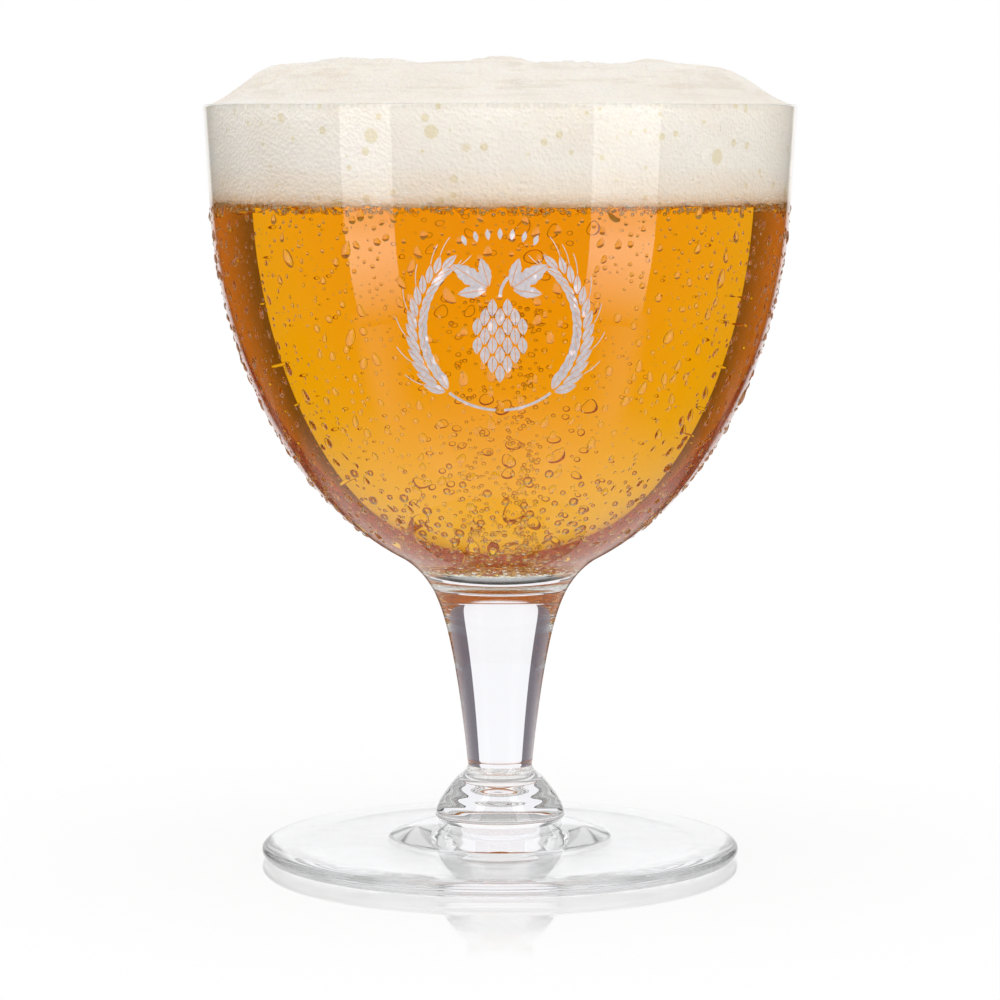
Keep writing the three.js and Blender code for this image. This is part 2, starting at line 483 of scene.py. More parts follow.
def make_knop(glass, joint):
    base, top = KNOP_LOW[2], KNOP_HIGH[2]
    seat = (KNOP_SEAT_RADIUS, base)
    widest = (KNOP_RADIUS, base + KNOP_WIDEST_HEIGHT)
    full_bell = (KNOP_RADIUS, widest[1] + KNOP_BELL_HEIGHT * KNOP_BELL_FULLNESS)
    shoulder = (KNOP_SHOULDER_RADIUS, widest[1] + KNOP_BELL_HEIGHT)
    neck = (STEM_WAIST_RADIUS, top)
    stretches = [
        ([(0.0, base), seat], FLAT),
        bend(seat, (KNOP_RADIUS, base + KNOP_WIDEST_HEIGHT / 2), widest, 16),
        bend(widest, full_bell, shoulder, 30),
        bend(shoulder, (STEM_WAIST_RADIUS, top - KNOP_NECK_HEIGHT / 2), neck, 16),
        ([(0.0, top)], FLAT),
    ]
    place(lathe("knop_glass", stretches, STEM_SEGMENTS, [glass, joint], knop_ridges), "clear_glass", "knop")


def leaning(taper):
    """Upwards, leaning out from the axis."""
    return (math.sin(taper), math.cos(taper))


def make_stem(glass, joint):
    bottom = (STEM_WAIST_RADIUS, STEM_LOW[2])
    top = (STEM_TOP_RADIUS, STEM_HIGH[2])
    stretches = [
        ([(0.0, bottom[1]), bottom], FLAT),
        sweep(bottom, leaning(STEM_WAIST_TAPER), top, leaning(STEM_TOP_TAPER), 60),
        ([(0.0, top[1])], FLAT),
    ]
    place(lathe("stem_glass", stretches, STEM_SEGMENTS, [glass, joint]), "clear_glass", "stem")


def make_bowl(glass, joint, wet):
    base = BOWL_LOW[2]
    flare_angle = OUTER.angle_at_radius(STEM_TOP_RADIUS + FLARE_SPREAD)
    flare_end = OUTER.points(flare_angle, flare_angle, 1)[0]
    seat = (STEM_TOP_RADIUS, base)
    rim_round = RIM_THICKNESS / 2
    rim_centre = (RIM_RADIUS - rim_round, RIM_HEIGHT - rim_round)
    mouth = (rim_centre[0] - rim_round, rim_centre[1])
    stretches = [
        ([(0.0, base), seat], FLAT),
        sweep(seat, leaning(STEM_TOP_TAPER), flare_end, OUTER.direction(flare_angle), 24),
        OUTER.points(flare_angle, OUTER.angle_at_height(WALL_FOOT), 90),
        arc(rim_centre, rim_round, rim_round, 0, 180, 24),
        [mouth],
        (INNER.points(INNER.angle_at_height(WALL_FOOT), -90, 90), WET),
    ]
    place(lathe("bowl_glass", stretches, BOWL_SEGMENTS, [glass, joint, wet]), "clear_glass", "bowl")


def make_beer(material):
    space = inside(BEER_FILM)
    cup_top = min(BEER_LEVEL, WALL_FOOT)
    stretches = [
        space.points(-90, space.angle_at_height(cup_top), 90),
        [(space.radius_at(BEER_LEVEL), BEER_LEVEL)],
        ([(0.0, BEER_LEVEL)], FLAT),
    ]
    place(lathe("beer_body", stretches, BOWL_SEGMENTS, [material, material]), "beer", "beer")


DOME_HEIGHT = 6.5 * MM
# The dome's profile: share of the mouth's radius, height in millimetres.
DOME = [(1.0, 0.0), (0.985, 0.3), (0.955, 0.95), (0.935, 1.5), (0.893, 2.85), (0.857, 4.1),
        (0.81, 5.4), (0.773, 5.95), (0.7, 6.3), (0.6, 6.45), (0.4, 6.5), (0.0, 6.5)]
DOME_RINGS = 110
# How far the profile is smoothed, as shares of the radius, and where that stops at the rim.
DOME_SMOOTHING = 0.008
DOME_SHARP_FROM = 0.985
# Forms on the dome: heights in millimetres, and how often they come per metre.
SWELL, FOLD, GRAIN = 0.45, 1.3, 0.06
SWELLS_PER_METRE, PATCHES_PER_METRE, GRAINS_PER_METRE = 55, 38, 700
SWELL_SHIFT = Vector((3.1, 7.7, 0.4))
# Folds run up over the shoulder and bend round with the mouth.
FOLDS_ROUND, FOLDS_OUTWARD, FOLD_BEND = 9, 40, 14
FOLDS_FROM_LEFT = 12 * MM
FOLDS_FREE_RADIUS, FOLDS_FADE = 6 * MM, 14 * MM
# Blisters on the foam: x, y, radius, height in millimetres.
FOAM_BLISTERS = ((0.2, 16, 9, 1.9), (26, 14, 7, 1.3), (-27, 12, 9, 1.0), (-18, 14, 6, 0.9), (12, -20, 6, 0.4))

FOAM_WALL_ROWS = 70
FOAM_WALL_FROM = 40 * MM
# Gas cells against the wall, which are larger and deeper near the beer.
CELL_DEPTH = 0.42 * MM
CELL_SIZE, CELL_SHRINKS = 1.25, 0.75
# The ragged edge at the beer: height and mean drop in millimetres, and how often it wavers per metre.
RAGGED, RAGGED_DROP, RAGS_PER_METRE = 0.45, 0.1, 420
# How far the foam dips into the beer: its underside, and its edge at the wall.
FOAM_DIP = 0.2 * MM
FOAM_EDGE_DIP = 0.35 * MM


def clamp(value):
    return min(1.0, max(0.0, value))


def dome_height(share):
    for (outer, low), (inner, high) in zip(DOME, DOME[1:]):
        if share >= inner:
            t = (outer - share) / (outer - inner)
            return (low + (high - low) * t) * MM
    return DOME_HEIGHT


def shape_dome(v, radius):
    """Swells, folds, grain and blisters on the dome."""
    rise = min(1.0, (v.z - RIM_HEIGHT) / DOME_HEIGHT)
    swell = noise.noise(Vector((v.x, v.y, 0.0)) * SWELLS_PER_METRE + SWELL_SHIFT)
    bent = math.atan2(v.y, v.x) + FOLD_BEND * radius
    along = (math.cos(bent) * FOLDS_ROUND, math.sin(bent) * FOLDS_ROUND, radius * FOLDS_OUTWARD)
    folds = 1 - 2 * abs(noise.noise(Vector(along)))
    # The folds come in patches and all over the left, and leave the middle free.
    patch = clamp(0.5 + 1.5 * noise.noise(Vector((v.x, v.y, 0.03)) * PATCHES_PER_METRE))
    patch = max(patch, clamp((-v.x - FOLDS_FROM_LEFT) / FOLDS_FROM_LEFT))
    patch *= clamp((radius - FOLDS_FREE_RADIUS) / FOLDS_FADE)
    fine = noise.noise(v * GRAINS_PER_METRE)
    v.z += (SWELL * swell + FOLD * (folds - 0.6) * patch + GRAIN * fine) * MM * rise * (1.6 - 0.6 * rise)
    for x, y, reach, height in FOAM_BLISTERS:
        apart = math.hypot(v.x - x * MM, v.y - y * MM) / (reach * MM)
        if apart < 1.0:
            v.z += height * MM * (1 - apart * apart) ** 1.5
    return v


def shape_foam(v):
    """Gas cells pressed against the wall, a ragged lower edge, and the dome's forms."""
    radius = math.hypot(v.x, v.y)
    if radius < 1e-6:
        return v
    if v.z > RIM_HEIGHT + 1e-6:
        return shape_dome(v, radius)
    if radius < FOAM_WALL_FROM:
        return v
    up = (v.z - BEER_LEVEL) / (RIM_HEIGHT - BEER_LEVEL)
    size = (CELL_SIZE - CELL_SHRINKS * min(1.0, up * 1.6)) * MM
    distance = noise.voronoi(v / size)[0][0]
    dip = CELL_DEPTH * min(1.0, distance) ** 2 * (1.0 - 0.7 * min(1.0, up * 1.25))
    scale = (radius - dip) / radius
    v.x *= scale
    v.y *= scale
    if up < 1e-4:
        v.z += (RAGGED * noise.noise(Vector((v.x, v.y, 0.0)) * RAGS_PER_METRE) - RAGGED_DROP) * MM
    return v


def make_foam(material):
    space = inside(FOAM_FILM)
    mouth = RIM_RADIUS - RIM_THICKNESS - FOAM_FILM
    dome = []
    for i in range(DOME_RINGS + 1):
        share = math.cos(i / DOME_RINGS * math.pi / 2)
        near = [dome_height(clamp(share + k * DOME_SMOOTHING)) for k in (-2, -1, 0, 1, 2)]
        height = sum(near) / len(near) if share < DOME_SHARP_FROM else dome_height(share)
        dome.append((mouth * share, RIM_HEIGHT + height))
    edge = BEER_LEVEL - FOAM_EDGE_DIP
    heights = [edge + (RIM_HEIGHT - edge) * i / FOAM_WALL_ROWS for i in range(FOAM_WALL_ROWS)]
    wall = [(space.radius_at(height), height) for height in heights]
    bottom = BEER_LEVEL - FOAM_DIP
    underside = [(0.0, bottom), (0.03, bottom), (space.radius_at(BEER_LEVEL) - MM, bottom)]
    stretches = [underside, wall, dome]
    place(lathe("foam_froth", stretches, FOAM_SEGMENTS, [material], shape_foam), "foam", "foam_head")


# Small things in and on the glass

# Faces round a ball, and from its bottom to its top.
FINE, COARSE = (16, 11), (8, 6)


class Heap:
    """Collects many small closed shapes into one mesh."""

    def __init__(self):
        self.verts, self.faces, self.slots = [], [], []

    def add(self, verts, faces, flat=()):
        """Faces listed in flat are flat shaded."""
        start = len(self.verts)
        self.verts.extend(verts)
        self.faces.extend(tuple(start + i for i in face) for face in faces)
        self.slots.extend(FLAT if i in flat else 0 for i in range(len(faces)))

    def ball(self, centre, radius, detail, squash=1.0):
        segments, steps = detail
        verts, rings = revolve(arc((0.0, 0.0), radius, radius * squash, -90, 90, steps), segments)
        self.add([tuple(a + b for a, b in zip(centre, v)) for v in verts], bands(rings))

    def build(self, name, material, slot):
        place(add_object(name, self.verts, self.faces, [material, material], self.slots), slot)


class Spacing:
    """Keeps things on the wall apart from each other."""

    def __init__(self, cell):
        self.cell = cell
        self.cells = {}

    def free(self, across, up, reach):
        column, row = int(across // self.cell), int(up // self.cell)
        for i in (-1, 0, 1):
            for j in (-1, 0, 1):
                for other in self.cells.get((column + i, row + j), ()):
                    if math.hypot(across - other[0], up - other[1]) < reach + other[2]:
                        return False
        self.cells.setdefault((column, row), []).append((across, up, reach))
        return True


def wall_frame(cup, turn, height):
    """A point on a wall and its outward, sideways and upward directions."""
    radius = cup.radius_at(height)
    lean = cup.lean_at(height)
    out = Vector((math.cos(turn), math.sin(turn), -lean)).normalized()
    side = Vector((-math.sin(turn), math.cos(turn), 0.0))
    point = Vector((radius * math.cos(turn), radius * math.sin(turn), height))
    return point, out, side, out.cross(side)


DROP_LOW = BOWL_LOW[2] + 9 * MM
DROP_HIGH = BEER_HIGH[2] - 0.1 * MM
# Drops: count, smallest and largest radius in millimetres, and whether they may run down.
DROP_KINDS = ((45, 0.75, 1.05, True), (680, 0.42, 0.75, True),
              (1700, 0.2, 0.42, False), (1500, 0.09, 0.18, False))
DROP_TRIES = 12
DROP_RUNS = 0.7
DROP_ROOM = 1.45
# Fine drops in front of the foam: count, heights, and radii in millimetres.
FINE_DROPS = 150
FINE_DROPS_LOW, FINE_DROPS_HIGH = BEER_LEVEL + 2 * MM, RIM_HEIGHT - 1.5 * MM
FINE_DROP_RADIUS = (0.08, 0.18)
# Shapes of drops, as shares of the radius.
DROP_BULGE = (0.36, 0.52)
RUN_STRETCH, ROUND_STRETCH = (0.15, 0.7), (-0.12, 0.2)
RUN_SAG, ROUND_SAG = 0.3, 0.08
RUN_NARROWING = 0.28
RUN_TILT = (-0.35, 0.35)
DROP_WAVE = (-0.18, 0.18)
WAVE_PHASE = (0, 6.28)
DROP_SUNK = 0.03 * MM
LARGE_DROP = 0.4 * MM


def add_drop(heap, rng, turn, height, radius, runny):
    """A drop of water on the outside: a dome with an uneven, often drawn-out outline."""
    point, out, side, up = wall_frame(OUTER, turn, height)
    segments, steps = (26, 8) if radius > LARGE_DROP else (12, 4)
    bulge = radius * rng.uniform(*DROP_BULGE)
    stretch = 1.0 + rng.uniform(*(RUN_STRETCH if runny else ROUND_STRETCH))
    tilt = rng.uniform(*RUN_TILT) if runny else 0.0
    sag = RUN_SAG if runny else ROUND_SAG
    waves = [(n, rng.uniform(*DROP_WAVE) / n, rng.uniform(*WAVE_PHASE)) for n in (2, 3)]
    sink = DROP_SUNK + radius * radius / (2 * OUTER.radius_at(height))
    verts, rings = [point - out * (sink + DROP_SUNK)], [[0]]
    for i in range(steps):
        rings.append(range(len(verts), len(verts) + segments))
        share = 1 - i / steps
        lift = 1 - share * share
        for j in range(segments):
            turn_j = math.tau * j / segments
            wobble = 1 + share * sum(a * math.cos(n * turn_j + b) for n, a, b in waves)
            right = radius * share * wobble * math.cos(turn_j)
            rise = radius * share * wobble * math.sin(turn_j)
            if runny:
                right *= 1 - RUN_NARROWING * math.sin(turn_j) * share
            rise = rise * stretch - sag * radius * lift
            right += tilt * rise
            verts.append(point + side * right + up * rise + out * (bulge * lift - sink))
    rings.append([len(verts)])
    verts.append(point + out * (bulge - sink) - up * sag * radius)
    # The underside's faces come first.
    heap.add(verts, bands(rings), range(segments))


MOST_AREA = 1.5


def scatter_on_wall(rng, low, high):
    """A random place on the outer wall, even by area."""
    while True:
        height = rng.uniform(low, high)
        area = OUTER.radius_at(height) / RIM_RADIUS * math.hypot(1, OUTER.lean_at(height))
        if rng.random() < area / MOST_AREA:
            return rng.uniform(0, math.tau), height


# Two streaks down the back, these angles from straight behind, where only fine drops sit.
STREAK = (11.0, 26.0)
DROP_IN_STREAK = 0.25 * MM


def in_streak(turn):
    from_behind = abs(math.degrees(math.atan2(math.cos(turn), math.sin(turn))))
    return STREAK[0] < from_behind < STREAK[1]


def make_condensation(material):
    rng = random.Random(11)
    heap = Heap()
    spacing = Spacing(3.4 * MM)
    for count, small, large, may_run in DROP_KINDS:
        for _ in range(count):
            radius = rng.uniform(small, large) * MM
            for _ in range(DROP_TRIES):
                turn, height = scatter_on_wall(rng, DROP_LOW, DROP_HIGH)
                if radius > DROP_IN_STREAK and in_streak(turn):
                    continue
                if spacing.free(turn * OUTER.radius_at(height), height, radius * DROP_ROOM):
                    add_drop(heap, rng, turn, height, radius, may_run and rng.random() < DROP_RUNS)
                    break
    for _ in range(FINE_DROPS):
        height = rng.uniform(FINE_DROPS_LOW, FINE_DROPS_HIGH)
        add_drop(heap, rng, rng.uniform(0, math.tau), height, rng.uniform(*FINE_DROP_RADIUS) * MM, False)
    heap.build("condensation", material, "water")


CLINGING_TRIES = 6500
# Bubbles on the wall lie this far from the axis at most, and thin out over the last stretch.
CLINGING_REACH = 34 * MM
CLINGING_THINNING = 15 * MM
CLINGING_GAP = 0.15 * MM
SMALLEST_CLINGING, CLINGING_GROWS = 0.3 * MM, 0.55 * MM
OFF_WALL = 0.06 * MM


def make_wall_bubbles(material):
    """Bubbles that cling to the inside, crowded at the bottom of the cup."""
    rng = random.Random(23)
    heap = Heap()
    spacing = Spacing(2.6 * MM)
    for _ in range(CLINGING_TRIES):
        reach = CLINGING_REACH * math.sqrt(rng.random())
        if rng.random() > min(1.0, (CLINGING_REACH - reach) / CLINGING_THINNING):
            continue
        radius = SMALLEST_CLINGING + CLINGING_GROWS * rng.random() ** 1.5
        turn = rng.uniform(0, math.tau)
        angle = math.radians(INNER.angle_at_radius(reach))
        height = INNER.centre[1] + INNER.half_height * math.sin(angle)
        room = radius * 1.2 + CLINGING_GAP
        if not spacing.free(reach * math.cos(turn), reach * math.sin(turn), room):
            continue
        point, out, _, _ = wall_frame(INNER, turn, height)
        heap.ball(point - out * (radius * 1.01 + OFF_WALL), radius, FINE)
    heap.build("wall_bubbles", material, "beer")


RISING_BUBBLES = 520
# Columns of rising bubbles: x, y and spread in millimetres.
COLUMNS = ((-3.2, -2.0, 1.5), (1.8, 1.0, 1.9), (3.9, -3.0, 1.1))
COLUMN_FROM, COLUMN_HEIGHT = 2 * MM, 46 * MM
RISING_RADIUS, RISING_SQUASH = (0.2, 0.4), 0.85


def make_rising_bubbles(material):
    """The columns of small bubbles that rise near the axis."""
    rng = random.Random(37)
    heap = Heap()
    bottom = CUP_BOTTOM + BOTTOM_THICKNESS
    for _ in range(RISING_BUBBLES):
        x, y, spread = COLUMNS[rng.randrange(3)]
        share = rng.random() ** 1.6
        height = bottom + COLUMN_FROM + share * COLUMN_HEIGHT
        widen = spread * (0.6 + 0.8 * share)
        radius = rng.uniform(*RISING_RADIUS) * MM
        heap.ball((rng.gauss(x, widen) * MM, rng.gauss(y, widen) * MM, height), radius, COARSE, RISING_SQUASH)
    heap.build("rising_bubbles", material, "beer")


FROTH_BUBBLES = 1700
# The froth's bubbles in millimetres: how deep they go, their radii, and how far from the wall they lie.
FROTH_DEPTH, FROTH_RADIUS, FROTH_OFF_WALL = 1.5, (0.13, 0.36), (0.06, 0.8)


def make_froth_line(material):
    """The wet band of larger cells where the foam meets the beer."""
    rng = random.Random(41)
    heap = Heap()
    for _ in range(FROTH_BUBBLES):
        radius = rng.uniform(*FROTH_RADIUS) * MM
        height = BEER_LEVEL - radius - rng.random() ** 1.6 * FROTH_DEPTH * MM
        point, out, _, _ = wall_frame(INNER, rng.uniform(0, math.tau), height)
        centre = point - out * (radius + rng.uniform(*FROTH_OFF_WALL) * MM)
        heap.ball(centre, radius, COARSE)
    heap.build("froth_line", material, "beer")


# Enamel print: two barley ears round a hop cone

PRINT_HEIGHT = 92.5 * MM
ENAMEL_THICKNESS = 0.045 * MM
ENAMEL_SUNK = 0.02 * MM
# The print is drawn in millimetres. This is the width of a bare vein.
VEIN = 0.1


def on_front(x, y, lift):
    """A place on the front of the bowl, from millimetres right of and above the print's middle."""
    height = PRINT_HEIGHT + y * MM
    turn = -math.pi / 2 + x * MM / OUTER.radius_at(height)
    point, out, _, _ = wall_frame(OUTER, turn, height)
    return point + out * lift


def polar(centre, length, angle):
    return (centre[0] + length * math.cos(angle), centre[1] + length * math.sin(angle))


def add_strip(heap, left, right, steps):
    """A thin closed plate of enamel between two lines that run side by side."""
    verts, rings = [], []
    for a, b in zip(left, right):
        row = line(a, b, steps)
        rings.append(range(len(verts), len(verts) + 2 * len(row)))
        verts += [on_front(x, y, ENAMEL_THICKNESS) for x, y in row]
        verts += [on_front(x, y, -ENAMEL_SUNK) for x, y in reversed(row)]
    faces = bands(rings)
    for j in range(steps):
        faces.append([rings[0][i] for i in (j, -1 - j, -2 - j, j + 1)])
        faces.append([rings[-1][i] for i in (j, j + 1, -2 - j, -1 - j)])
    heap.add(verts, faces, range(len(faces)))


def add_blade(heap, base, heading, length, width, veined=True, teeth=0, fullest=0.45):
    """A pointed blade: a grain, a bract or a lobe of a leaf, with a bare vein along its middle."""
    rows = 9 if not teeth else 4 * teeth + 1
    left, left_of_vein, right_of_vein, right = edges = [], [], [], []
    power = math.log(0.5) / math.log(fullest)
    for i in range(rows):
        t = i / (rows - 1)
        half = width / 2 * math.sin(math.pi * min(0.995, max(0.01, t)) ** power) ** 0.85
        if teeth:
            half *= 0.84 + 0.16 * abs(math.sin(math.pi * teeth * t))
        half = max(half, VEIN / 2 + 0.03)
        middle = polar(base, length * t, heading)
        for edge, offset in zip(edges, (half, VEIN / 2, -VEIN / 2, -half)):
            edge.append(polar(middle, offset, heading + math.pi / 2))
    if veined:
        add_strip(heap, left, left_of_vein, 2)
        add_strip(heap, right_of_vein, right, 2)
    else:
        add_strip(heap, left, right, 2)


def add_line(heap, points, width):
    """A drawn line of even width."""
    left, right = [], []
    for i, point in enumerate(points):
        ahead, behind = points[min(i + 1, len(points) - 1)], points[max(i - 1, 0)]
        across = math.atan2(ahead[0] - behind[0], behind[1] - ahead[1])
        left.append(polar(point, width / 2, across))
        right.append(polar(point, -width / 2, across))
    add_strip(heap, left, right, 1)


# A barley ear: the radius that it bends to, the angles where its stalk, its grains and its tip are,
# its pairs of grains, and the size of a grain.
EAR_RADIUS = 13.2
STALK_START, GRAINS_START, EAR_END = math.radians(-87), math.radians(-52), math.radians(46)
STALK_WIDTH = 0.42
EAR_PAIRS = 12
GRAIN_LENGTH, GRAIN_WIDTH, GRAIN_LEAN = 3.7, 1.5, 0.42
AWN_FROM, AWN_STEP, AWN_BEND, AWN_WIDTH = 3.9, 0.55, 0.035, 0.12
TIP_LENGTH, TIP_WIDTH = 3.2, 1.2


def add_ear(heap, side):
    """A barley ear that bends up one side of the print."""
    def on_arc(angle):
        return (side * EAR_RADIUS * math.cos(angle), EAR_RADIUS * math.sin(angle))

    def along_arc(angle):
        return math.atan2(math.cos(angle), -side * math.sin(angle))

    stalk = [on_arc(STALK_START + (GRAINS_START - STALK_START) * i / 20) for i in range(21)]
    add_line(heap, stalk, STALK_WIDTH)
    for i in range(EAR_PAIRS):
        angle = GRAINS_START + math.radians(2.5) + (EAR_END - GRAINS_START) * i / EAR_PAIRS
        heading = along_arc(angle)
        size = 1.0 - 0.25 * i / EAR_PAIRS
        for lean in (-1, 1):
            turn = heading + lean * GRAIN_LEAN
            base = polar(on_arc(angle), 0.3, heading + lean * 1.57)
            add_blade(heap, base, turn, GRAIN_LENGTH * size, GRAIN_WIDTH * size)
            # Every other grain has an awn, and so have all near the tip.
            if (i + (lean > 0)) % 2 or i > EAR_PAIRS - 3:
                tip = polar(base, AWN_FROM * size, turn)
                awn = [polar(tip, t * AWN_STEP, turn - lean * AWN_BEND * t) for t in range(7)]
                add_line(heap, awn, AWN_WIDTH)
    add_blade(heap, on_arc(EAR_END), along_arc(EAR_END), TIP_LENGTH, TIP_WIDTH)


# The hop cone: bracts in each row, their spacing and size, and its leaves as turn, length and width.
BRACTS = (2, 3, 4, 3, 4, 3, 2, 1)
CONE_TOP, BRACT_ROW, BRACT_GAP = 4.8, 1.52, 2.3
BRACT_LENGTH, BRACT_WIDTH = 2.8, 1.5
CONE_STALK = [(0.0, 5.1), (0.15, 6.2), (0.6, 7.3), (1.3, 8.2)]
CONE_STALK_WIDTH = 0.5
LEAF_RIGHT, LEAF_UP, LEAF_STALK = 1.6, 6.3, 0.5
LEAF_LOBES = ((0.0, 6.6, 2.9), (0.72, 4.6, 2.0), (-0.72, 4.6, 2.0))


def add_hop(heap):
    """A hop cone with two leaves."""
    for i, count in enumerate(BRACTS):
        y = CONE_TOP - BRACT_ROW * i
        for j in range(count):
            x = (j - (count - 1) / 2) * BRACT_GAP
            add_blade(heap, (x, y), -math.pi / 2 + 0.03 * x, BRACT_LENGTH, BRACT_WIDTH, fullest=0.5)
    add_line(heap, CONE_STALK, CONE_STALK_WIDTH)
    for side in (-1, 1):
        heading = math.pi / 2 - side * 1.0
        for turn, length, width in LEAF_LOBES:
            base = polar((side * LEAF_RIGHT, LEAF_UP), LEAF_STALK, heading + turn)
            add_blade(heap, base, heading + turn, length, width, teeth=5, fullest=0.5)


ENAMEL_MOTTLE = ((0.35, (0.62, 0.55, 0.57)), (0.65, (0.74, 0.68, 0.7)))


def enamel_material():
    """Fired enamel: satin, with the slight mottling of a screen print."""
    material, graph, shader = new_material("enamel_print")
    position = graph.add("TexCoord", "Object")
    mottle = graph.add("TexNoise", "Fac", Vector=position, Scale=1600.0, Detail=3.0)
    graph.set(shader, Base_Color=graph.ramp(mottle, ENAMEL_MOTTLE), Roughness=0.65, Specular_IOR_Level=0.25)
    return material


# Seven seeds in an arc over the cone.
SEEDS_CENTRE, SEEDS_RADIUS, SEEDS_APART = (0.0, -1.0), 15.2, 0.12
SEED_LENGTH, SEED_WIDTH = 1.7, 0.8


def make_print(material):
    heap = Heap()
    for side in (-1, 1):
        add_ear(heap, side)
    add_hop(heap)
    for i in range(-3, 4):
        angle = math.pi / 2 + i * SEEDS_APART
        base = polar(SEEDS_CENTRE, SEEDS_RADIUS, angle)
        add_blade(heap, base, angle, SEED_LENGTH, SEED_WIDTH, veined=False, fullest=0.5)
    heap.build("print_ornament", material, "enamel")


# Stage: floor, world and lights

def emitter(name, corners, strength, glossy=False, transmission=False):
    """A flat panel of light that only gloss or only glass sees."""
    material, graph, shader = new_material(name)
    graph.nodes.remove(shader)
    emission = graph.add("Emission", Strength=strength)
    graph.set(graph.nodes["Material Output"], Surface=emission.outputs["Emission"])
    obj = add_object(name, corners, [(0, 1, 2, 3)], [material])
    obj.visible_camera = obj.visible_diffuse = obj.visible_shadow = False
    obj.visible_glossy = glossy
    obj.visible_transmission = transmission
    return graph, emission


def upright(start, end, low, high):
    """The corners of an upright panel between two points of the floor plan."""
    return [(*start, low), (*end, low), (*end, high), (*start, high)]


# Soft boxes beside the camera: side, and the directions in degrees in which the bowl mirrors their two edges.
SOFT_BOXES = ((-1, 41.7, 63.4), (1, 35.5, 63.4))
BOX_AWAY = 0.16
BOX_LOW, BOX_HIGH = 0.005, 0.4
BOX_LEVEL = 3.4
# A box is full between the first two heights. It fades out below, and is dimmer above the third, where the
# foam mirrors it.
BOX_FULL_FROM, BOX_FULL_TO, BOX_DIM_FROM = 0.06, 0.07, 0.084
BOX_DIM = 0.62


def make_soft_boxes():
    for side, inner, outer in SOFT_BOXES:
        ends = []
        for direction in (inner, outer):
            turn = math.radians(direction)
            on_wall = (RIM_RADIUS * math.sin(turn / 2), RIM_RADIUS * math.cos(turn / 2))
            ends.append((side * (on_wall[0] + BOX_AWAY * math.sin(turn)),
                         -on_wall[1] - BOX_AWAY * math.cos(turn)))
        corners = upright(ends[0], ends[1], BOX_LOW, BOX_HIGH)
        graph, emission = emitter("soft_box", corners, BOX_LEVEL, glossy=True)
        height = graph.add("SeparateXYZ", "Z", Vector=graph.add("TexCoord", "Object"))
        level = graph.spread(height, BOX_LOW, BOX_FULL_FROM, 0.0, BOX_LEVEL)
        dimmed = graph.spread(height, BOX_FULL_TO, BOX_DIM_FROM, 1.0, BOX_DIM)
        graph.set(emission, Strength=graph.times(level, dimmed))


CARD_LEFT, CARD_RIGHT, CARD_AWAY = -0.218, 0.2, 0.367
CARD_LOW, CARD_HIGH = -0.1, 0.5
CARD_COLOUR = (0.97, 0.965, 1.0, 1.0)


def make_card():
    """The white card behind the glass, seen through it."""
    corners = upright((CARD_LEFT, CARD_AWAY), (CARD_RIGHT, CARD_AWAY), CARD_LOW, CARD_HIGH)
    graph, emission = emitter("card", corners, 1.0, transmission=True)
    graph.set(emission, Color=CARD_COLOUR)


# What is seen through the glass: the angle from straight behind it, and the colour there.
WHITE = (1.0, 1.0, 1.0)
DARK = (0.2, 0.15, 0.18)
DIM = (0.46, 0.28, 0.28)
GLOW = (0.85, 0.46, 0.38)
BEHIND_BEER = ((0, WHITE), (24, WHITE), (28, DARK), (36, DARK), (44, DIM), (56, GLOW),
               (127, GLOW), (131, DARK), (143, DARK), (147, WHITE), (180, WHITE))
SLATE = (0.15, 0.13, 0.16)
MIST = (0.3, 0.26, 0.29)
BEHIND_STEM = ((0, WHITE), (24, WHITE), (28, SLATE), (40, SLATE), (64, MIST),
               (127, MIST), (131, SLATE), (143, SLATE), (147, WHITE), (180, WHITE))
# A ray through the bowl and the beer crosses more surfaces than this, and one through the stem fewer.
SURFACES_BEFORE_BEER = 3.5
# The light on foam, print and floor: where it comes from, and its dimmest and brightest level.
SOFT_FROM = (0.2, -0.35, 0.88)
SOFT = (0.4, 1.16)
# How much more of it goes through the glass, to make up for what the glass keeps out.
BEHIND_GLASS = 1.7
# The dark sides as the glass mirrors them.
DARK_SIDE = 0.03
# How steeply a ray rises where table and air, or low and high, give way to each other.
TABLE_SEEN, TABLE_MIRRORED = (-0.45, -0.2), (-0.4, -0.25)
TURNED_LOW, TURNED_HIGH = (-0.15, -0.02), (0.1, 0.2)
# The angles from straight behind between which the white card gives way to the sides.
CARD_EDGE_LOW, CARD_EDGE, CARD_EDGE_TURNED = (20, 45), (19, 24), (24, 30)


def half_turn_share(graph, split):
    """The angle from straight behind the glass, 0 to 1 for 0 to 180 degrees."""
    angle = graph.math("ARCTAN2", graph.math("ABSOLUTE", split["X"]), split["Y"])
    return graph.math("DIVIDE", angle, math.pi)


def by_degrees(graph, share, low, high, at_low, at_high):
    """Goes from one level to another between two angles from straight behind the glass."""
    return graph.spread(share, low / 180, high / 180, at_low, at_high)


def at_least_one(graph, count):
    return graph.math("GREATER_THAN", count, 0.5)


